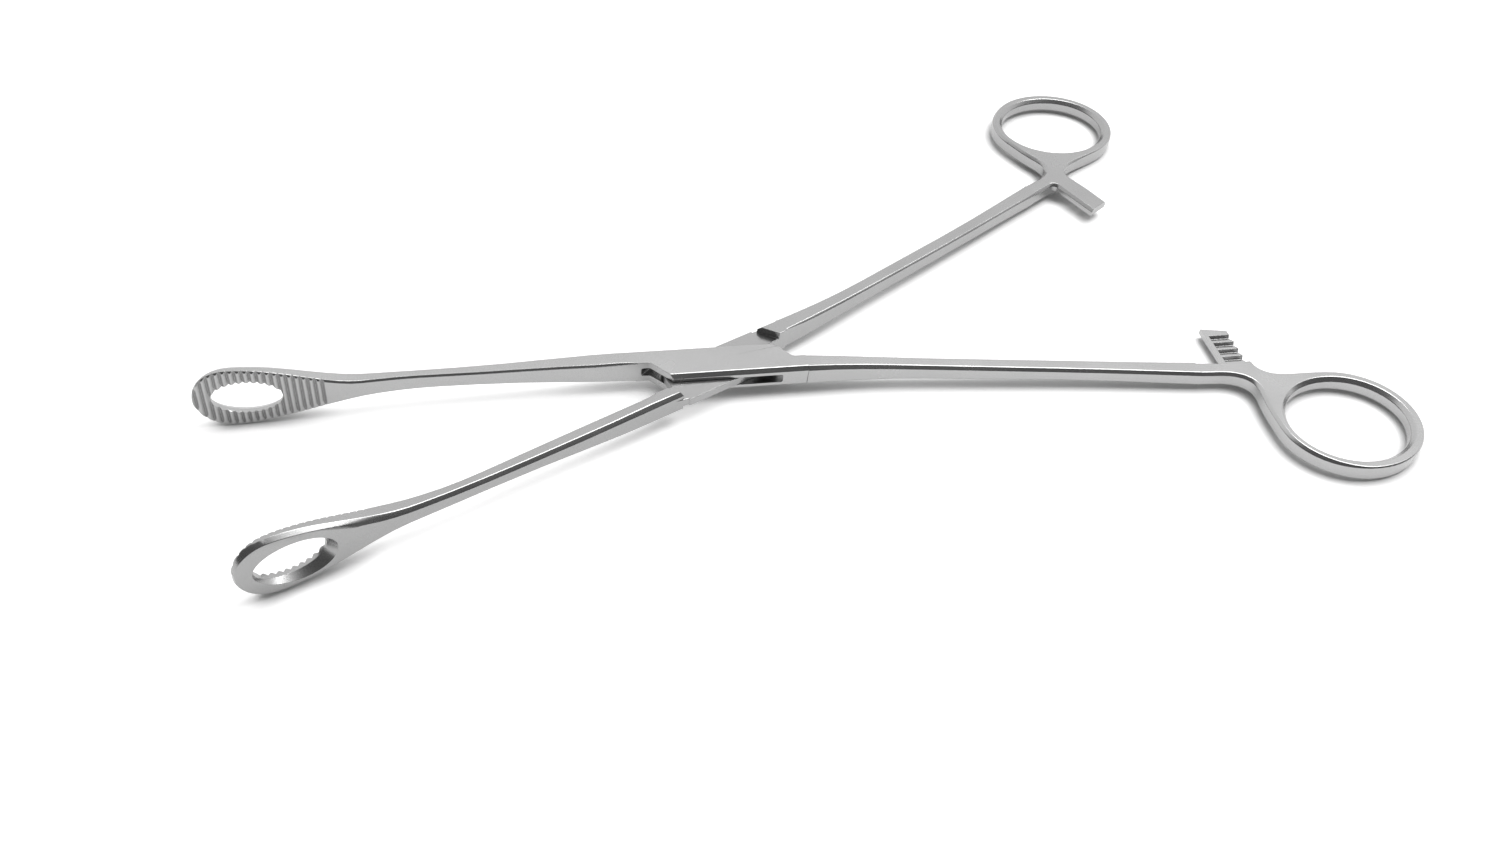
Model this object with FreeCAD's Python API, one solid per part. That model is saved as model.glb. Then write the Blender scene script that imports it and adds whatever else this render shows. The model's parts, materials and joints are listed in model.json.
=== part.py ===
import FreeCAD, Part
import math
import os

# Straight sponge holding forceps with a box lock, millimetres, +Z up.
# Each half is drawn in its own flat frame: pivot at the origin, jaw towards -X,
# finger ring towards +X, the jaw on the +Y side of the centre line.
# The slide half is the same drawing mirrored in Y.

# opening shown in the photograph
OPENING_DEG = 25.55

# how far a cutting tool runs past the face it cuts
OVERCUT = 1.0

# box lock
BOX_HALF_WIDTH = 4.3
BOX_HALF_HEIGHT = 2.47
BOX_BEVEL = 0.8
BLOCK_END = 17.0
HALF_GAP = 0.12
SLOT_HALF_HEIGHT = 0.95
SLOT_CLEARANCE = 0.07
SLOT_INNER_END = 16.2
SLOT_OUTER_END = 11.8
SLOT_CORNER_RADIUS = 0.4
NECK_HALF_WIDTH = 5.0
NECK_RADIUS = 12.2
NECK_FLARE_START = 14.0
NECK_FLARE_END = 8.0
CHEEK_INNER_X = 14.5
CHEEK_OUTER_X = 10.4
CHEEK_EASE = 0.3
CHEEK_CREST_RADIUS = 5.0
CHEEK_FOOT_RADIUS = 1.5
SHOULDER_CLEARANCE = 0.4
SHOULDER_SLANT = 0.7
PIN_DIAMETER = 3.0
PIN_RUNNING_CLEARANCE = 0.04

# jaw: a round nose that tapers back to the shank
JAW_REACH = 100.3
JAW_NOSE_RADIUS = 6.8
JAW_TAPER = 26.5
JAW_SHANK_HALF_HEIGHT = 1.9
GRIP_FACE_Y = -0.1
JAW_TIP_THICKNESS = 1.5
JAW_RIM_BEVEL = 1.3
JAW_RIM_HEIGHT = 1.6
JAW_BULGE = 0.35
JAW_EDGE_BREAK = 0.35
SHANK_EDGE_BREAK = 0.4
BLOCK_EDGE_BREAK = 0.2
SLIDE_JAW_TOE = 0.8
TOE_LENGTH = 45.0
NOSE_STEPS = 8
TAPER_STEPS = 8

# shares of the jaw's length between which its heavier rim fades to the shank
RIM_FADE_START = 0.3
RIM_FADE_END = 0.8

# most of a section's own width and height that its bevels may take
RIM_WIDTH_SHARE = 0.6
RIM_HEIGHT_SHARE = 0.8
EDGE_BREAK_SHARE = 0.3

# window in the jaw, countersunk at the back
WINDOW_SETBACK = 9.7
WINDOW_HALF_LENGTH = 6.45
WINDOW_HALF_HEIGHT = 3.8
WINDOW_SINK = 0.9
WINDOW_LAND = 1.2

# serrations across the gripping face
TEETH_LENGTH = 24.4
TOOTH_PITCH = 1.27
TOOTH_GROOVE_WIDTH = 1.0
TOOTH_DEPTH = 0.5
TOOTH_LIP = 0.2

# finger side
HANDLE_HALF_HEIGHT = 1.8
HANDLE_BEVEL = 0.65
HUB_START = 100.0
RING_CENTRE_X = 126.0
RING_CENTRE_Y = -28.75
RING_OUTER_A = 16.0
RING_OUTER_B = 13.9
RING_TURN_DEG = 9.0
RING_WIDTH = 2.5
RING_INNER_BEVEL = 0.85
RING_OUTER_BEVEL = 0.28
RING_BEVEL_FADE = 12.0

# turn of the first and last outline points on the ring, and between them
RING_FIRST_DEG = 168
RING_LAST_DEG = 438
RING_STEP_DEG = 15

# plan points of the hub, on both sides of the ring's root
HUB_OVERLAP = 3.0
HUB_RISE = 3.0
HUB_SHOULDER = [(108.3, -14.5), (110.2, -16.1), (110.75, -18.6), (110.4, -21.4)]
HUB_NECK = [(118.0, -14.25), (115.1, -13.35), (113.7, -12.0)]
SPAN_COUNT = 9
SPAN_STEPS = 10

# ratchet arm
CROOK_RADIUS = 1.2
ARM_BEYOND = 5.0
ARM_NEAR_X = 107.4
ARM_FAR_X = 113.3
ARM_TIP_NEAR_Y = 2.5
ARM_TIP_FAR_Y = 1.5
ARM_ROOT_Y = -10.3
ARM_GAP = 0.12
RATCHET_TEETH = 4
RATCHET_PITCH = 2.25
RATCHET_DEPTH = 0.8
RATCHET_STEEP_RUN = 0.4
RATCHET_CREST = 0.15
RATCHET_PLAIN_STRIP = 1.0
ARM_TIP_LAND = 2.3

# jaw shank stations: x, inner y, outer y, half height, bevel, and how much
# further out the inner side of the slide half lies
JAW_SHANK = [
    (-BLOCK_END, HALF_GAP, BOX_HALF_WIDTH, BOX_HALF_HEIGHT, BOX_BEVEL, 1.2),
    (-24.0, 0.25, 4.35, 2.38, 0.78, 1.1),
    (-32.0, 0.6, 4.25, 2.12, 0.75, 0.6),
    (-42.0, 0.95, 4.0, 1.8, 0.72, 0.1),
    (-52.0, 1.1, 3.8, 1.66, 0.7, 0.0),
    (-60.0, 1.12, 3.65, 1.72, 0.72, 0.0),
]

# ring shank stations: x, inner y, outer y, half height, bevel
RING_SHANK = [
    (BLOCK_END, -0.35, -BOX_HALF_WIDTH - 0.1, BOX_HALF_HEIGHT, BOX_BEVEL),
    (24.0, -0.75, -4.5, 2.3, 0.74),
    (36.0, -1.95, -5.25, 1.95, 0.68),
    (50.0, -3.5, -6.8, 1.78, HANDLE_BEVEL),
    (66.0, -5.25, -8.6, 1.68, HANDLE_BEVEL),
    (84.0, -7.4, -10.9, 1.7, HANDLE_BEVEL),
    (HUB_START, -9.25, -13.2, HANDLE_HALF_HEIGHT, HANDLE_BEVEL),
]


def vec(x, y, z=0.0):
    return FreeCAD.Vector(x, y, z)


def prism(points, z_low, z_high):
    """A flat outline of (x, y) points raised from z_low to z_high."""
    loop = [vec(x, y, z_low) for x, y in points]
    wire = Part.makePolygon(loop + loop[:1])
    return Part.Face(wire).extrude(vec(0, 0, z_high - z_low))


def section(x, inner, outer, half_height, bevel, rim, edge_break, bulge):
    """Shank section at x: a flat bar with bevelled outer edges."""
    side = 1.0 if outer > inner else -1.0
    rim_y = min(bevel, RIM_WIDTH_SHARE * abs(outer - inner))
    rim_z = min(rim, RIM_HEIGHT_SHARE * half_height)
    brk = min(edge_break, EDGE_BREAK_SHARE * half_height)
    mid = 0.5 * (1.0 - bulge)
    upper = [
        (inner, half_height - brk),
        (inner + side * brk, half_height),
        (outer - side * rim_y, half_height),
        (outer - side * rim_y * mid, half_height - rim_z * mid),
        (outer, half_height - rim_z),
    ]
    lower = [(y, -z) for y, z in reversed(upper)]
    loop = [vec(x, y, z) for y, z in upper + lower]
    return Part.makePolygon(loop + loop[:1])


def toe_shift(x, toe):
    """How far the jaw is set over towards the other jaw at x."""
    along = max(0.0, -x - (JAW_REACH - TOE_LENGTH))
    return toe * (along / TOE_LENGTH) ** 2


def jaw_inner_y(x, toe):
    """Gripping face: flat along the teeth, then falling back to the shank."""
    heel_x, heel_y = JAW_SHANK[-1][:2]
    flat_end = min(TEETH_LENGTH - JAW_REACH, heel_x - 1.0)
    share = min(1.0, max(0.0, (x - flat_end) / (heel_x - flat_end)))
    ease = 0.5 * (1.0 - math.cos(math.pi * share))
    return GRIP_FACE_Y + (heel_y - GRIP_FACE_Y) * ease - toe_shift(x, toe)


def jaw_outer_y(x, toe):
    """Back of the jaw, thinning from the shank to the tip."""
    heel_x, heel_y = JAW_SHANK[-1][0], JAW_SHANK[-1][2]
    tip_y = GRIP_FACE_Y + JAW_TIP_THICKNESS
    share = (x + JAW_REACH) / (heel_x + JAW_REACH)
    return tip_y + (heel_y - tip_y) * math.sqrt(share) - toe_shift(x, toe)


def jaw_outline(nose_steps, taper_steps):
    """(x, half height) along the jaw, from the tip back to the shank."""
    centre = -JAW_REACH + JAW_NOSE_RADIUS
    shank = JAW_SHANK_HALF_HEIGHT
    points = []
    for step in range(1, nose_steps + 1):
        angle = math.pi / 2 * step / nose_steps
        x = centre - JAW_NOSE_RADIUS * math.cos(angle)
        points.append((x, JAW_NOSE_RADIUS * math.sin(angle)))
    for step in range(1, taper_steps + 1):
        share = step / taper_steps
        wave = 0.5 * (1.0 + math.cos(math.pi * share))
        points.append((centre + JAW_TAPER * share, shank + (JAW_NOSE_RADIUS - shank) * wave))
    return points


def jaw_arm(toe, relieved):
    """Jaw and its shank as one smooth skin of bevelled sections."""
    heel_x = JAW_SHANK[-1][0]
    heel_bevel = JAW_SHANK[-1][4]
    wires = []
    for x, half_height in jaw_outline(NOSE_STEPS, TAPER_STEPS):
        share = (x + JAW_REACH) / (heel_x + JAW_REACH)
        grip = (RIM_FADE_END - share) / (RIM_FADE_END - RIM_FADE_START)
        grip = min(1.0, max(0.0, grip))
        inner = jaw_inner_y(x, toe)
        outer = jaw_outer_y(x, toe)
        rim_y = heel_bevel + (JAW_RIM_BEVEL - heel_bevel) * grip
        rim_z = heel_bevel + (JAW_RIM_HEIGHT - heel_bevel) * grip
        brk = SHANK_EDGE_BREAK + (JAW_EDGE_BREAK - SHANK_EDGE_BREAK) * grip
        wires.append(section(x, inner, outer, half_height, rim_y, rim_z, brk, JAW_BULGE * grip))
    for index, (x, inner, outer, half_height, bevel, relief) in enumerate(reversed(JAW_SHANK)):
        shift = toe_shift(x, toe)
        inner += relief if relieved else 0.0
        brk = SHANK_EDGE_BREAK if index < len(JAW_SHANK) - 1 else BLOCK_EDGE_BREAK
        wires.append(section(x, inner - shift, outer - shift, half_height, bevel, bevel, brk, 0.0))
    return Part.makeLoft(wires, True, False)


def oval(centre_x, y, half_length, half_height):
    """Upright oval wire across the jaw at height y of the plan."""
    ellipse = Part.Ellipse(vec(centre_x, y, 0), half_length, half_height)
    ellipse.Axis = vec(0, 1, 0)
    ellipse.XAxis = vec(1, 0, 0)
    return Part.Wire(ellipse.toShape())


def jaw_window(toe):
    """The oval hole through the jaw, with its countersink at the back."""
    x = WINDOW_SETBACK - JAW_REACH
    front = jaw_inner_y(x, toe) - OVERCUT
    back = jaw_outer_y(x, toe)
    land = jaw_inner_y(x, toe) + WINDOW_LAND
    through = Part.Face(oval(x, front, WINDOW_HALF_LENGTH, WINDOW_HALF_HEIGHT))
    hole = through.extrude(vec(0, back + OVERCUT - front, 0))
    sink = WINDOW_SINK * (back + OVERCUT - land) / (back - land)
    cone = Part.makeLoft([
        oval(x, land, WINDOW_HALF_LENGTH, WINDOW_HALF_HEIGHT),
        oval(x, back + OVERCUT, WINDOW_HALF_LENGTH + sink, WINDOW_HALF_HEIGHT + sink),
    ], True, True)
    return hole.fuse(cone)


def serrations(toe):
    """Vee grooves across the gripping face, from the tip to the heel."""
    grooves = []
    count = int(TEETH_LENGTH / TOOTH_PITCH)
    for index in range(count):
        x = -JAW_REACH + TOOTH_PITCH * (index + 0.5)
        face = jaw_inner_y(x, toe)
        half = TOOTH_GROOVE_WIDTH / 2
        lip = TOOTH_LIP * half / TOOTH_DEPTH
        outline = [
            (x - half - lip, face - TOOTH_LIP),
            (x + half + lip, face - TOOTH_LIP),
            (x, face + TOOTH_DEPTH),
        ]
        reach = JAW_NOSE_RADIUS + OVERCUT
        grooves.append(prism(outline, -reach, reach))
    return grooves


def box_bar(x_start, x_end):
    """Bar of the box lock with bevelled edges."""
    w = BOX_HALF_WIDTH
    h = BOX_HALF_HEIGHT
    b = BOX_BEVEL
    loop = [
        (w, h - b), (w - b, h), (b - w, h), (-w, h - b),
        (-w, b - h), (b - w, -h), (w - b, -h), (w, b - h),
    ]
    points = [vec(x_start, y, z) for y, z in loop]
    face = Part.Face(Part.makePolygon(points + points[:1]))
    return face.extrude(vec(x_end - x_start, 0, 0))


def rounded_prism(points, z_low, z_high, rounds):
    """A prism with some upright edges rounded: rounds holds (corner, radius)."""
    solid = prism(points, z_low, z_high)
    for (x, y), radius in rounds:
        upright = [
            edge for edge in solid.Edges
            if all(math.hypot(v.X - x, v.Y - y) < 1e-4 for v in edge.Vertexes)
        ]
        solid = solid.makeFillet(radius, upright)
    return solid


def box_block():
    """Bar of the box half, cut to the cheek ends on both sides."""
    w = BOX_HALF_WIDTH + OVERCUT
    top = BOX_HALF_HEIGHT + OVERCUT
    slope = (CHEEK_INNER_X - CHEEK_OUTER_X) / (BOX_HALF_WIDTH + HALF_GAP)
    inner_y = RING_SHANK[0][1]
    crest = (CHEEK_OUTER_X + CHEEK_EASE, BOX_HALF_WIDTH)
    foot = (CHEEK_INNER_X, inner_y)
    outline = [
        (-CHEEK_OUTER_X + slope, -w),
        (-CHEEK_INNER_X, HALF_GAP),
        (-BLOCK_END, HALF_GAP),
        (-BLOCK_END, BOX_HALF_WIDTH),
        crest,
        foot,
        (BLOCK_END, inner_y),
        (BLOCK_END, -w),
    ]
    rounds = [(crest, CHEEK_CREST_RADIUS), (foot, CHEEK_FOOT_RADIUS)]
    plan = rounded_prism(outline, -top, top, rounds)
    return box_bar(-BLOCK_END, BLOCK_END).common(plan)


def slot_tool():
    """The slot that the neck of the slide half passes through."""
    w = BOX_HALF_WIDTH + OVERCUT
    run = (SLOT_INNER_END - SLOT_OUTER_END) / (BOX_HALF_WIDTH - HALF_GAP)
    reach = SLOT_OUTER_END - run * (w - BOX_HALF_WIDTH)
    far = BLOCK_END + OVERCUT
    outline = [
        (-SLOT_INNER_END, HALF_GAP), (-reach, w), (far, w), (far, -HALF_GAP),
        (SLOT_INNER_END, -HALF_GAP), (reach, -w), (-far, -w), (-far, HALF_GAP),
    ]
    tool = prism(outline, -SLOT_HALF_HEIGHT, SLOT_HALF_HEIGHT)
    ends = []
    for edge in tool.Edges:
        a, b = edge.Vertexes[0].Point, edge.Vertexes[-1].Point
        level = abs(a.z - b.z) < 1e-6
        slanted = abs(a.x - b.x) > 0.5 and abs(a.y - b.y) > 0.5
        if level and slanted:
            ends.append(edge)
    return tool.makeFillet(SLOT_CORNER_RADIUS, ends)


def shoulder_x(y):
    """Where a shoulder of the slide half starts, at y of its plan."""
    slope = (CHEEK_INNER_X - CHEEK_OUTER_X) / (BOX_HALF_WIDTH + HALF_GAP)
    return CHEEK_INNER_X + SHOULDER_CLEARANCE - SHOULDER_SLANT * slope * y


def neck_block():
    """Bar of the slide half: thin neck between two full-height shoulders."""
    w = BOX_HALF_WIDTH + OVERCUT
    top = BOX_HALF_HEIGHT + OVERCUT
    left = HALF_GAP + JAW_SHANK[0][5]
    right = HALF_GAP
    bar = box_bar(-BLOCK_END, BLOCK_END)
    left_plan = [(-BLOCK_END, left), (-shoulder_x(left), left), (-shoulder_x(w), w), (-BLOCK_END, w)]
    right_plan = [
        (BLOCK_END, -right), (shoulder_x(right), -right), (shoulder_x(w), -w), (BLOCK_END, -w),
    ]
    shoulders = bar.common(prism(left_plan, -top, top).fuse(prism(right_plan, -top, top)))
    return shoulders.fuse(neck())


def neck():
    """Thin middle of the slide half, which turns in the slot of the box."""
    z = SLOT_HALF_HEIGHT - SLOT_CLEARANCE
    wide = NECK_HALF_WIDTH
    r = NECK_RADIUS
    across = Part.makeCylinder(r, 2 * z, vec(0, 0, -z))
    across = across.common(prism([(-r, -wide), (r, -wide), (r, wide), (-r, wide)], -z, z))
    strips = []
    for turn, relief in ((1, JAW_SHANK[0][5]), (-1, 0.0)):
        plan = [
            (-BLOCK_END, HALF_GAP + relief), (-r, HALF_GAP), (0, HALF_GAP), (0, wide),
            (-NECK_FLARE_END, wide), (-NECK_FLARE_START, BOX_HALF_WIDTH), (-BLOCK_END, BOX_HALF_WIDTH),
        ]
        strips.append(prism([(turn * x, turn * y) for x, y in plan], -z, z))
    return across.fuse(strips)


def ring_shank():
    """Shank on the finger side, a skin of bevelled sections."""
    wires = []
    for index, (x, inner, outer, half_height, bevel) in enumerate(RING_SHANK):
        brk = SHANK_EDGE_BREAK if index else BLOCK_EDGE_BREAK
        wires.append(section(x, inner, outer, half_height, bevel, bevel, brk, 0.0))
    return Part.makeLoft(wires, True, False)


def ring_point(angle_deg):
    """Point of the ring's outside at an angle measured from its long axis."""
    angle = math.radians(angle_deg)
    turn = math.radians(RING_TURN_DEG)
    along = RING_OUTER_A * math.cos(angle)
    across = RING_OUTER_B * math.sin(angle)
    x = RING_CENTRE_X + along * math.cos(turn) - across * math.sin(turn)
    y = RING_CENTRE_Y + along * math.sin(turn) + across * math.cos(turn)
    return vec(x, y)


def shank_line(column):
    """Point and direction of an edge of the shank where the hub takes over."""
    start, before = RING_SHANK[-1], RING_SHANK[-2]
    slope = (start[column] - before[column]) / (start[0] - before[0])
    return vec(start[0], start[column]), vec(1, slope).normalize()


def outside_curve():
    """Outer edge of the plan: shank, round the finger ring, up the arm."""
    point, along = shank_line(2)
    back = HUB_OVERLAP / along.x
    points = [point - along * back, point]
    points += [vec(x, y) for x, y in HUB_SHOULDER]
    points += [ring_point(a) for a in range(RING_FIRST_DEG, RING_LAST_DEG + 1, RING_STEP_DEG)]
    points += [vec(x, y) for x, y in HUB_NECK]
    points += [vec(ARM_FAR_X, ARM_ROOT_Y + HUB_RISE), vec(ARM_FAR_X, ARM_BEYOND)]
    curve = Part.BSplineCurve()
    curve.interpolate(Points=points, InitialTangent=along, FinalTangent=vec(0, 1))
    return curve


def outside_bevel(point):
    """Bevel along the outside: full on the shank, slight round the ring."""
    share = min(1.0, max(0.0, (point.x - ARM_FAR_X) / RING_BEVEL_FADE))
    fade = share * share * (3.0 - 2.0 * share)
    return HANDLE_BEVEL + (RING_OUTER_BEVEL - HANDLE_BEVEL) * fade


def outside_edges(curve, on_face, side):
    """Edges of the outside, on the flat face or where its bevel meets the wall."""
    first, last = curve.FirstParameter, curve.LastParameter
    total = SPAN_COUNT * SPAN_STEPS
    points = []
    for step in range(total + 1):
        place = first + (last - first) * step / total
        base = curve.value(place)
        tangent = curve.tangent(place)[0]
        bevel = outside_bevel(base)
        inset = bevel if on_face else 0.0
        z = side * (HANDLE_HALF_HEIGHT - (0.0 if on_face else bevel))
        points.append(base + vec(-tangent.y, tangent.x) * inset + vec(0, 0, z))
    edges = []
    for start in range(0, total, SPAN_STEPS):
        span = Part.BSplineCurve()
        span.interpolate(
            Points=points[start:start + SPAN_STEPS + 1],
            InitialTangent=chord(points, start),
            FinalTangent=chord(points, start + SPAN_STEPS))
        edges.append(span.toShape())
    return edges, points[0], points[-1]


def chord(points, index):
    """Direction of the outline at one of its points."""
    before = points[max(0, index - 1)]
    after = points[min(len(points) - 1, index + 1)]
    return (after - before).normalize()


def crook(corner, along_a, along_b, radius):
    """Start, middle and end of the round between two edges."""
    half_angle = along_a.getAngle(along_b) / 2
    run = radius / math.tan(half_angle)
    bisector = (along_a + along_b).normalize()
    mid = corner + bisector * (radius / math.sin(half_angle) - radius)
    return corner + along_a * run, mid, corner + along_b * run


def handle_wire(curve, on_face, side):
    """Plan of hub, ring and arm on a flat face or at the foot of its bevel."""
    outside, start, end = outside_edges(curve, on_face, side)
    inset = HANDLE_BEVEL if on_face else 0.0
    point, along = shank_line(1)
    inner = point + vec(along.y, -along.x) * inset + vec(0, 0, end.z)
    arm_x = ARM_NEAR_X + inset
    corner = inner + along * ((arm_x - inner.x) / along.x)
    left = inner - along * ((inner.x - start.x) / along.x)
    arm_root, mid, shank_root = crook(corner, vec(0, 1), along * -1, CROOK_RADIUS + inset)
    tip_near = vec(arm_x, end.y, end.z)
    edges = list(outside)
    edges.append(Part.makeLine(end, tip_near))
    edges.append(Part.makeLine(tip_near, arm_root))
    edges.append(Part.Arc(arm_root, mid, shank_root).toShape())
    edges.append(Part.makeLine(shank_root, left))
    edges.append(Part.makeLine(left, start))
    return Part.Wire(edges)


def plan_ellipse(a, b, z):
    """Ellipse round the ring's centre: a along its turned axis, b across."""
    turn = math.radians(RING_TURN_DEG + (90 if b > a else 0))
    ellipse = Part.Ellipse(vec(RING_CENTRE_X, RING_CENTRE_Y, z), max(a, b), min(a, b))
    ellipse.XAxis = vec(math.cos(turn), math.sin(turn))
    return Part.Wire(ellipse.toShape())


def ring_hole():
    """Hole of the finger ring with bevelled rims."""
    h = HANDLE_HALF_HEIGHT
    a = RING_OUTER_A - RING_WIDTH
    b = RING_OUTER_B - RING_WIDTH
    c = RING_INNER_BEVEL
    over = OVERCUT
    hole = Part.Face(plan_ellipse(a, b, -h - over)).extrude(vec(0, 0, 2 * (h + over)))
    rims = []
    for side in (1, -1):
        rims.append(Part.makeLoft([
            plan_ellipse(a, b, side * (h - c)),
            plan_ellipse(a + c + over, b + c + over, side * (h + over)),
        ], True, True))
    return hole.fuse(rims)


def handle():
    """Hub, finger ring and full-height ratchet arm."""
    curve = outside_curve()
    h = HANDLE_HALF_HEIGHT
    levels = [(True, -1), (False, -1), (False, 1), (True, 1)]
    plate = Part.makeLoft([handle_wire(curve, on_face, side) for on_face, side in levels], True, True)
    ring_reach = max(RING_OUTER_A, RING_OUTER_B) + OVERCUT
    far_x = RING_CENTRE_X + ring_reach
    low_y = RING_CENTRE_Y - ring_reach
    keep = [
        (HUB_START, low_y), (far_x, low_y), (far_x, ARM_ROOT_Y), (ARM_FAR_X + OVERCUT, ARM_TIP_FAR_Y),
        (ARM_FAR_X, ARM_TIP_FAR_Y), (ARM_NEAR_X, ARM_TIP_NEAR_Y), (HUB_START, ARM_TIP_NEAR_Y),
    ]
    plate = plate.common(prism(keep, -h - OVERCUT, h + OVERCUT))
    return plate.cut(ring_hole())


def ratchet_cut(up):
    """Tools that leave half of the arm's height and cut its teeth."""
    gap = up * ARM_GAP / 2
    reach = (HANDLE_HALF_HEIGHT + OVERCUT) * up
    low, high = sorted((-gap, reach))
    x0 = ARM_NEAR_X - OVERCUT
    x1 = ARM_FAR_X + OVERCUT
    tip = ARM_TIP_NEAR_Y + OVERCUT
    tools = [prism([(x0, ARM_ROOT_Y), (x1, ARM_ROOT_Y), (x1, tip), (x0, tip)], low, high)]
    first = ARM_TIP_NEAR_Y - ARM_TIP_LAND
    for index in range(RATCHET_TEETH):
        y1 = first - index * RATCHET_PITCH
        y0 = y1 - RATCHET_PITCH + RATCHET_CREST
        x_start = ARM_NEAR_X + RATCHET_PLAIN_STRIP
        loop = [
            vec(x_start, y0, -gap), vec(x_start, y1, -gap),
            vec(x_start, y1 - RATCHET_STEEP_RUN, -gap - up * RATCHET_DEPTH),
        ]
        face = Part.Face(Part.makePolygon(loop + loop[:1]))
        tools.append(face.extrude(vec(x1 - x_start, 0, 0)))
    return tools


def half(block, toe, relieved, arm_side):
    """One forged half: jaw, shank, box or neck, hub, ring and ratchet."""
    jaw = jaw_arm(toe, relieved).cut([jaw_window(toe)] + serrations(toe))
    grip = handle().cut(ratchet_cut(arm_side))
    solid = block.fuse([jaw, ring_shank(), grip])
    return solid.removeSplitter()


def pin_bore(radius):
    reach = BOX_HALF_HEIGHT + OVERCUT
    return Part.makeCylinder(radius, 2 * reach, vec(0, 0, -reach))


def box_half():
    solid = half(box_block().cut(slot_tool()), 0.0, False, 1)
    return solid.cut(pin_bore(PIN_DIAMETER / 2))


def slide_half():
    solid = half(neck_block(), SLIDE_JAW_TOE, True, -1)
    solid = solid.cut(pin_bore(PIN_DIAMETER / 2 + PIN_RUNNING_CLEARANCE))
    return solid.mirror(vec(0, 0, 0), vec(0, 1, 0))


def pivot_pin():
    height = 2 * BOX_HALF_HEIGHT
    return Part.makeCylinder(PIN_DIAMETER / 2, height, vec(0, 0, -BOX_HALF_HEIGHT))


def resting_tilt():
    """Tilt that lets the deep jaws and the thin rings touch the table."""
    turn = math.radians(OPENING_DEG / 2)
    jaw_x = (JAW_REACH - JAW_NOSE_RADIUS) * math.cos(turn)
    ring_x = RING_CENTRE_X * math.cos(turn) + RING_CENTRE_Y * math.sin(turn)
    ring_x += math.hypot(RING_OUTER_A * math.cos(turn), RING_OUTER_B * math.sin(turn))
    drop = JAW_NOSE_RADIUS - HANDLE_HALF_HEIGHT
    return math.degrees(math.atan2(drop, jaw_x + ring_x))


def main():
    os.makedirs("parts", exist_ok=True)
    nodes = {
        "box_half": (box_half(), -OPENING_DEG / 2),
        "slide_half": (slide_half(), OPENING_DEG / 2),
        "pivot_pin": (pivot_pin(), -OPENING_DEG / 2),
    }
    tilt = resting_tilt()
    placed = {}
    whole = FreeCAD.BoundBox()
    for name, (shape, turn) in nodes.items():
        shape.rotate(vec(0, 0, 0), vec(0, 0, 1), turn)
        shape.rotate(vec(0, 0, 0), vec(0, 1, 0), tilt)
        whole.add(shape.optimalBoundingBox(False, False))
        placed[name] = shape
    shift = vec(-whole.Center.x, -whole.Center.y, -whole.ZMin)
    for name, shape in placed.items():
        shape.translate(shift)
        shape.exportStep("parts/" + name + ".step")
        box = shape.optimalBoundingBox(False, False)
        print(name, shape.isValid(), len(shape.Solids), round(shape.Volume, 1), box)
    axis = vec(math.sin(math.radians(tilt)), 0, math.cos(math.radians(tilt)))
    print("pivot", shift, "axis", axis, "size", whole.XLength, whole.YLength, whole.ZLength)


if __name__ == "__main__":
    main()
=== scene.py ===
import json
import math
import bpy
from mathutils import Matrix, Vector

# Lengths are in metres and angles in radians where a name doesn't say otherwise.

# The photograph's camera, fitted in a frame whose origin is the pivot.
FOCAL_PX = 1355.085
IMAGE_WIDTH_PX = 1500
CAM_ELEVATION = 0.778
CAM_ROLL = 0.138
CAM_DISTANCE = 0.272757
AIM_PX = (-28.874, -54.35)
BISECTOR = 0.518965
SENSOR_MM = 36.0
CLIP_START = 0.01
CLIP_END = 20.0

# Edges and shading of the ground steel.
WELD_DISTANCE = 2e-6
EDGE_BREAK = 0.00013
EDGE_BREAK_SEGMENTS = 3
EDGE_ANGLE = math.radians(28)
FLAT_ANGLE = math.radians(0.3)
SMOOTH_ANGLE = math.radians(26)
FLAT_FACE_WEIGHT = 80
FLUSH_RADIUS = 0.0022
FINE_SHARE = 0.5
SERRATIONS_END_X = -0.0895
RATCHET_START_X = 0.084
RATCHET_HALF_Y = 0.0352

# Satin steel: its reflectance, roughness and grain.
BOX_TONE = 0.57
# The slide half is the same steel as the box half and the pin, set darker.
SLIDE_TONE = 0.50
ROUGHNESS = 0.25
ROUGHNESS_SPREAD = 0.03
TONE_SPREAD = 0.04
GRAIN_SPREAD = 0.08
CLOUDS_PER_M = 90.0
CLOUD_DETAIL = 3.0
GRAIN_PER_M = 4200.0
GRAIN_DETAIL = 2.0
GRAIN_STRENGTH = 0.3
GRAIN_DEPTH = 0.00002
NOISE_MIDDLE = (0.3, 0.7)

# Painted shade: grooves and slots are darkened in the steel's colour, by how much of the
# steel's surroundings is open.
OPENNESS_SAMPLES = 16
PAINTED_SHADE_REACH = 0.0012
PAINTED_SHADE_TONE = 0.10
PAINTED_SHADE_OPENNESS = (0.15, 0.8)

# Studio: a bright room, a dark patch where the photographer stands, one lamp.
ROOM_TONE = 0.93
PATCH_TONE = 0.11
PATCH_HALF_WIDTH = 1.25
PATCH_HALF_HEIGHT = 0.46
PATCH_FADE = 1.3
LAMP_PLACE = (0.40, 0.24, 0.85)
LAMP_SIZE = (0.75, 0.5)
LAMP_WATTS = 5.4

# A pale floor, lifted to white for the camera except where the forceps touch it: there the
# missing lift is a painted contact shadow.
FLOOR_TONE = 0.82
FLOOR_LIFT = 0.52
FLOOR_GLOSS_LIFT = 0.2
FLOOR_SIZE = 12.0
FLOOR_DROP = 0.00002
PAINTED_SHADOW_REACH = 0.004
PAINTED_SHADOW_OPENNESS = (0.45, 0.9)

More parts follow.
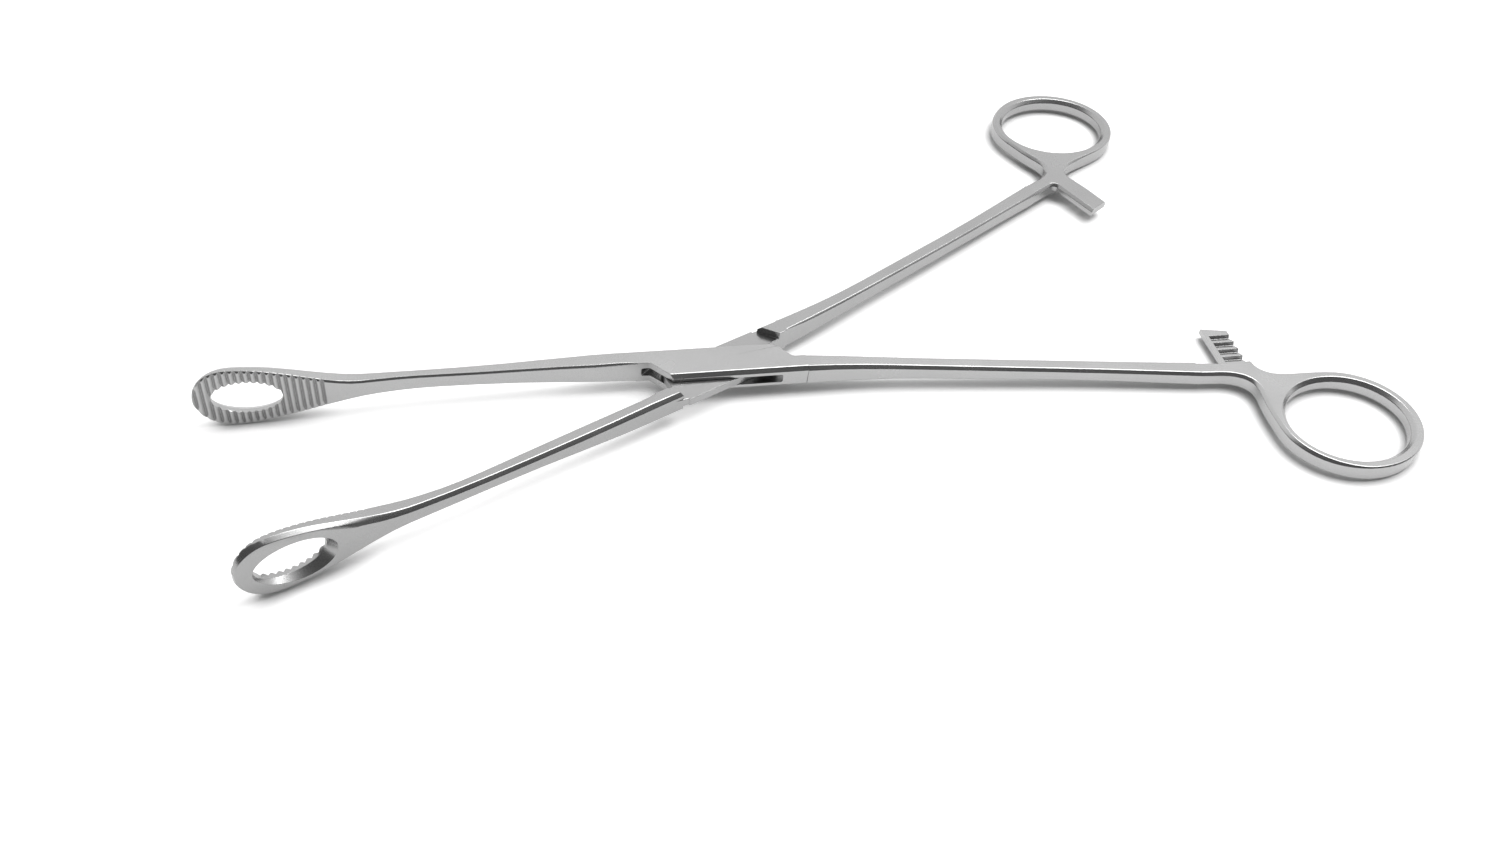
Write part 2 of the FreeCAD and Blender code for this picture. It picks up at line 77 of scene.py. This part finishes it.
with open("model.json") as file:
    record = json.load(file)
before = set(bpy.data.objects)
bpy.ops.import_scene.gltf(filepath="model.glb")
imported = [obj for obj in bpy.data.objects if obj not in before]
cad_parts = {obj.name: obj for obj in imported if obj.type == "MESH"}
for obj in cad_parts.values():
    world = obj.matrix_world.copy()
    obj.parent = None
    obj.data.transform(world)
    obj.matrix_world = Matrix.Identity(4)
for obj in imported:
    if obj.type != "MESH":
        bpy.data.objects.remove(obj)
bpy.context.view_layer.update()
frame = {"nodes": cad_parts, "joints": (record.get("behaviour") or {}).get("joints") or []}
scene = bpy.context.scene
pivot = Vector(frame["joints"][0]["pos_m"])
pivot_axis = Vector(frame["joints"][0]["axis"])


def new_node(tree, kind, **values):
    node = tree.nodes.new(kind)
    for key, value in values.items():
        setattr(node, key, value)
    return node


def feed(tree, socket, value):
    """Links an output to the socket, or sets the socket to a plain value."""
    if isinstance(value, bpy.types.NodeSocket):
        tree.links.new(value, socket)
    else:
        socket.default_value = value


def fed_node(tree, kind, operation, values):
    node = new_node(tree, kind, operation=operation)
    for socket, value in zip(node.inputs, values):
        feed(tree, socket, value)
    return node


def calculate(tree, operation, *values):
    return fed_node(tree, "ShaderNodeMath", operation, values).outputs["Value"]


def measure_vector(tree, operation, *values):
    """A number from vectors, such as a length."""
    return fed_node(tree, "ShaderNodeVectorMath", operation, values).outputs["Value"]


def change_vector(tree, operation, *values):
    """A vector from vectors, such as a cross product."""
    return fed_node(tree, "ShaderNodeVectorMath", operation, values).outputs["Vector"]


def remap(tree, source, limits, results, curve="LINEAR"):
    """Maps a number between the limits to the results, and holds it past them."""
    node = new_node(tree, "ShaderNodeMapRange", interpolation_type=curve)
    feed(tree, node.inputs["Value"], source)
    feed(tree, node.inputs["From Min"], limits[0])
    feed(tree, node.inputs["From Max"], limits[1])
    feed(tree, node.inputs["To Min"], results[0])
    feed(tree, node.inputs["To Max"], results[1])
    return node.outputs["Result"]


def openness(tree, reach, **values):
    """How open the surroundings are within reach, from 0 to 1."""
    node = new_node(tree, "ShaderNodeAmbientOcclusion", samples=OPENNESS_SAMPLES, **values)
    node.inputs["Distance"].default_value = reach
    return node.outputs["AO"]


def noise(tree, coord, per_metre, detail):
    node = new_node(tree, "ShaderNodeTexNoise")
    feed(tree, node.inputs["Vector"], coord.outputs["Object"])
    feed(tree, node.inputs["Scale"], per_metre)
    feed(tree, node.inputs["Detail"], detail)
    return node.outputs["Fac"]


def empty_material(name):
    mat = bpy.data.materials.new(name)
    mat.use_nodes = True
    mat.node_tree.nodes.clear()
    out = new_node(mat.node_tree, "ShaderNodeOutputMaterial")
    return mat, mat.node_tree, out


def fit_axes():
    """Camera axes in the fitted frame: right, up and back."""
    el, roll = CAM_ELEVATION, CAM_ROLL
    back = Vector((0, -math.cos(el), math.sin(el)))
    right = Vector((1, 0, 0))
    up = back.cross(right)
    x_axis = right * math.cos(roll) + up * math.sin(roll)
    y_axis = up * math.cos(roll) - right * math.sin(roll)
    return x_axis, y_axis, back


def make_camera():
    """Camera at the photograph's place, carried to the resting forceps."""
    x_axis, y_axis, back = fit_axes()
    ray = Vector((AIM_PX[0] / FOCAL_PX, -AIM_PX[1] / FOCAL_PX, -1.0)).normalized()
    place = (x_axis * ray.x + y_axis * ray.y + back * ray.z) * -CAM_DISTANCE
    local = Matrix((x_axis, y_axis, back)).transposed().to_4x4()
    local.translation = place
    tilt = math.atan2(pivot_axis.x, pivot_axis.z)
    to_world = (
        Matrix.Translation(pivot)
        @ Matrix.Rotation(tilt, 4, "Y")
        @ Matrix.Rotation(-BISECTOR, 4, "Z")
    )
    data = bpy.data.cameras.new("camera")
    data.sensor_width = SENSOR_MM
    data.sensor_fit = "HORIZONTAL"
    data.lens = FOCAL_PX / IMAGE_WIDTH_PX * SENSOR_MM
    data.clip_start = CLIP_START
    data.clip_end = CLIP_END
    obj = bpy.data.objects.new("camera", data)
    scene.collection.objects.link(obj)
    obj.matrix_world = to_world @ local
    scene.camera = obj
    return obj


def satin_steel(name, tone):
    """Satin stainless steel, with painted shade darkening its grooves and slots."""
    mat, tree, out = empty_material(name)
    coord = new_node(tree, "ShaderNodeTexCoord")
    clouds = noise(tree, coord, CLOUDS_PER_M, CLOUD_DETAIL)
    grain = noise(tree, coord, GRAIN_PER_M, GRAIN_DETAIL)
    rough_range = (ROUGHNESS - ROUGHNESS_SPREAD, ROUGHNESS + ROUGHNESS_SPREAD)
    rough = remap(tree, clouds, NOISE_MIDDLE, rough_range)
    shade = remap(tree, clouds, NOISE_MIDDLE, (1.0 - TONE_SPREAD, 1.0))
    speckle = remap(tree, grain, NOISE_MIDDLE, (1.0 - GRAIN_SPREAD, 1.0))
    # Painted shade: the steel's colour is darkened where its own surroundings close in, in
    # grooves and slots.
    around = openness(tree, PAINTED_SHADE_REACH, only_local=True)
    painted_crevice_shade = remap(tree, around, PAINTED_SHADE_OPENNESS, (PAINTED_SHADE_TONE, 1.0), "SMOOTHSTEP")
    finish = calculate(tree, "MULTIPLY", shade, speckle)
    finish_with_painted_shade = calculate(tree, "MULTIPLY", finish, painted_crevice_shade)
    colour = new_node(tree, "ShaderNodeVectorMath", operation="SCALE")
    colour.inputs[0].default_value = (tone, tone, tone)
    feed(tree, colour.inputs["Scale"], finish_with_painted_shade)
    bump = new_node(tree, "ShaderNodeBump")
    bump.inputs["Strength"].default_value = GRAIN_STRENGTH
    bump.inputs["Distance"].default_value = GRAIN_DEPTH
    feed(tree, bump.inputs["Height"], grain)
    bsdf = new_node(tree, "ShaderNodeBsdfPrincipled")
    bsdf.inputs["Metallic"].default_value = 1.0
    feed(tree, bsdf.inputs["Base Color"], colour.outputs["Vector"])
    feed(tree, bsdf.inputs["Roughness"], rough)
    feed(tree, bsdf.inputs["Normal"], bump.outputs["Normal"])
    feed(tree, out.inputs["Surface"], bsdf.outputs["BSDF"])
    return mat


def geometry_group(name):
    tree = bpy.data.node_groups.new(name, "GeometryNodeTree")
    tree.interface.new_socket("Geometry", in_out="INPUT", socket_type="NodeSocketGeometry")
    tree.interface.new_socket("Geometry", in_out="OUTPUT", socket_type="NodeSocketGeometry")
    start = new_node(tree, "NodeGroupInput")
    end = new_node(tree, "NodeGroupOutput")
    return tree, start.outputs["Geometry"], end.inputs["Geometry"]


def compare(tree, source, operation, limit):
    node = new_node(tree, "FunctionNodeCompare", data_type="FLOAT", operation=operation)
    feed(tree, node.inputs[0], source)
    feed(tree, node.inputs[1], limit)
    return node.outputs[0]


def combine(tree, operation, a, b):
    """Joins two yes-or-no values by AND or OR."""
    return fed_node(tree, "FunctionNodeBooleanMath", operation, (a, b)).outputs[0]


def edges_past(tree, limit):
    angle = new_node(tree, "GeometryNodeInputMeshEdgeAngle")
    return compare(tree, angle.outputs[0], "GREATER_THAN", limit)


def edge_group():
    """Weighs the edges to break: none round the flush pin, less at the teeth."""
    tree, start, end = geometry_group("edges_to_break")
    place = new_node(tree, "GeometryNodeInputPosition").outputs["Position"]
    offset = change_vector(tree, "SUBTRACT", place, pivot)
    across = change_vector(tree, "CROSS_PRODUCT", offset, pivot_axis)
    radius = measure_vector(tree, "LENGTH", across)
    away = compare(tree, radius, "GREATER_THAN", FLUSH_RADIUS)
    split = new_node(tree, "ShaderNodeSeparateXYZ")
    feed(tree, split.inputs["Vector"], place)
    side = calculate(tree, "ABSOLUTE", split.outputs["Y"])
    serrated = compare(tree, split.outputs["X"], "LESS_THAN", SERRATIONS_END_X)
    at_arms = compare(tree, split.outputs["X"], "GREATER_THAN", RATCHET_START_X)
    inside = compare(tree, side, "LESS_THAN", RATCHET_HALF_Y)
    fine = combine(tree, "OR", serrated, combine(tree, "AND", at_arms, inside))
    share = new_node(tree, "GeometryNodeSwitch", input_type="FLOAT")
    share.inputs["False"].default_value = 1.0
    share.inputs["True"].default_value = FINE_SHARE
    feed(tree, share.inputs["Switch"], fine)
    broken = combine(tree, "AND", edges_past(tree, EDGE_ANGLE), away)
    weight = calculate(tree, "MULTIPLY", share.outputs["Output"], broken)
    store = new_node(tree, "GeometryNodeStoreNamedAttribute", data_type="FLOAT", domain="EDGE")
    store.inputs["Name"].default_value = "bevel_weight_edge"
    feed(tree, store.inputs["Geometry"], start)
    feed(tree, store.inputs["Value"], weight)
    feed(tree, end, store.outputs["Geometry"])
    return tree


def smooth_group():
    """Shades smooth, with sharp edges past a set angle."""
    tree, start, end = geometry_group("smooth_by_angle")
    faces = new_node(tree, "GeometryNodeSetShadeSmooth", domain="FACE")
    edges = new_node(tree, "GeometryNodeSetShadeSmooth", domain="EDGE")
    edges.inputs["Shade Smooth"].default_value = False
    feed(tree, faces.inputs["Geometry"], start)
    feed(tree, edges.inputs["Geometry"], faces.outputs["Geometry"])
    feed(tree, edges.inputs["Selection"], edges_past(tree, SMOOTH_ANGLE))
    feed(tree, end, edges.outputs["Geometry"])
    return tree


def dress(node, mat, edges, smooth):
    """Material, broken edges and clean shading for one CAD node."""
    obj = frame["nodes"][node]
    obj.data.materials.clear()
    obj.data.materials.append(mat)
    weld = obj.modifiers.new("weld", "WELD")
    weld.merge_threshold = WELD_DISTANCE
    flat = obj.modifiers.new("whole flat faces", "DECIMATE")
    flat.decimate_type = "DISSOLVE"
    flat.angle_limit = FLAT_ANGLE
    marked = obj.modifiers.new("edges to break", "NODES")
    marked.node_group = edges
    bevel = obj.modifiers.new("edge break", "BEVEL")
    bevel.limit_method = "WEIGHT"
    bevel.width = EDGE_BREAK
    bevel.segments = EDGE_BREAK_SEGMENTS
    bevel.use_clamp_overlap = False
    shaded = obj.modifiers.new("smooth", "NODES")
    shaded.node_group = smooth
    weighted = obj.modifiers.new("flat faces stay flat", "WEIGHTED_NORMAL")
    weighted.keep_sharp = True
    weighted.weight = FLAT_FACE_WEIGHT


def make_floor():
    bpy.ops.mesh.primitive_plane_add(size=FLOOR_SIZE, location=(0, 0, -FLOOR_DROP))
    floor = bpy.context.object
    floor.name = "floor"
    mat, tree, out = empty_material("floor")
    path = new_node(tree, "ShaderNodeLightPath")
    around = openness(tree, PAINTED_SHADOW_REACH)
    # Painted contact shadow: the camera's lift fades out where the floor's surroundings close
    # in under the forceps.
    lift_with_painted_shadow = remap(tree, around, PAINTED_SHADOW_OPENNESS, (0.0, FLOOR_LIFT), "SMOOTHSTEP")
    seen = calculate(tree, "MULTIPLY", lift_with_painted_shadow, path.outputs["Is Camera Ray"])
    is_glossy = path.outputs["Is Glossy Ray"]
    level = calculate(tree, "MULTIPLY_ADD", is_glossy, FLOOR_GLOSS_LIFT, seen)
    glow = new_node(tree, "ShaderNodeEmission")
    feed(tree, glow.inputs["Strength"], level)
    diffuse = new_node(tree, "ShaderNodeBsdfDiffuse")
    diffuse.inputs["Color"].default_value = (FLOOR_TONE, FLOOR_TONE, FLOOR_TONE, 1)
    add = new_node(tree, "ShaderNodeAddShader")
    feed(tree, add.inputs[0], diffuse.outputs[0])
    feed(tree, add.inputs[1], glow.outputs[0])
    feed(tree, out.inputs["Surface"], add.outputs[0])
    floor.data.materials.append(mat)


def background(tree, strength):
    node = new_node(tree, "ShaderNodeBackground")
    node.inputs["Color"].default_value = (1, 1, 1, 1)
    feed(tree, node.inputs["Strength"], strength)
    return node.outputs[0]


def patch_level(tree, dark_from):
    """Brightness of the room, with a dark ellipse in one direction."""
    direction = new_node(tree, "ShaderNodeTexCoord").outputs["Generated"]
    back = dark_from.normalized()
    right = Vector((0, 0, 1)).cross(back).normalized()
    up = back.cross(right)
    flat = new_node(tree, "ShaderNodeCombineXYZ")
    across = measure_vector(tree, "DOT_PRODUCT", direction, right / PATCH_HALF_WIDTH)
    height = measure_vector(tree, "DOT_PRODUCT", direction, up / PATCH_HALF_HEIGHT)
    feed(tree, flat.inputs["X"], across)
    feed(tree, flat.inputs["Y"], height)
    reach = measure_vector(tree, "LENGTH", flat.outputs["Vector"])
    darkening = (PATCH_TONE - ROOM_TONE, 0.0)
    dark = remap(tree, reach, (1.0, PATCH_FADE), darkening, "SMOOTHSTEP")
    toward = measure_vector(tree, "DOT_PRODUCT", direction, back)
    facing = calculate(tree, "GREATER_THAN", toward, 0.0)
    return calculate(tree, "MULTIPLY_ADD", dark, facing, ROOM_TONE)


def make_world(dark_from):
    """Room with a dark patch for the light, plain white for the camera."""
    world = bpy.data.worlds.new("studio")
    scene.world = world
    world.use_nodes = True
    tree = world.node_tree
    tree.nodes.clear()
    path = new_node(tree, "ShaderNodeLightPath")
    mix = new_node(tree, "ShaderNodeMixShader")
    feed(tree, mix.inputs[0], path.outputs["Is Camera Ray"])
    feed(tree, mix.inputs[1], background(tree, patch_level(tree, dark_from)))
    feed(tree, mix.inputs[2], background(tree, 1.0))
    out = new_node(tree, "ShaderNodeOutputWorld")
    feed(tree, out.inputs["Surface"], mix.outputs[0])


def make_lamp():
    """Soft lamp above; its place and size are in the camera's own heading."""
    data = bpy.data.lights.new("overhead", "AREA")
    data.shape = "RECTANGLE"
    data.size, data.size_y = LAMP_SIZE
    data.energy = LAMP_WATTS
    obj = bpy.data.objects.new("overhead", data)
    scene.collection.objects.link(obj)
    heading = Matrix.Rotation(-BISECTOR, 4, "Z")
    obj.matrix_world = heading @ Matrix.Translation(LAMP_PLACE)


camera = make_camera()
edges = edge_group()
smooth = smooth_group()
tones = {"box_half": BOX_TONE, "slide_half": SLIDE_TONE, "pivot_pin": BOX_TONE}
for node, tone in tones.items():
    dress(node, satin_steel("satin_steel_" + node, tone), edges, smooth)
make_floor()
make_world(camera.matrix_world.translation.copy())
make_lamp()

scene.view_settings.view_transform = "Standard"
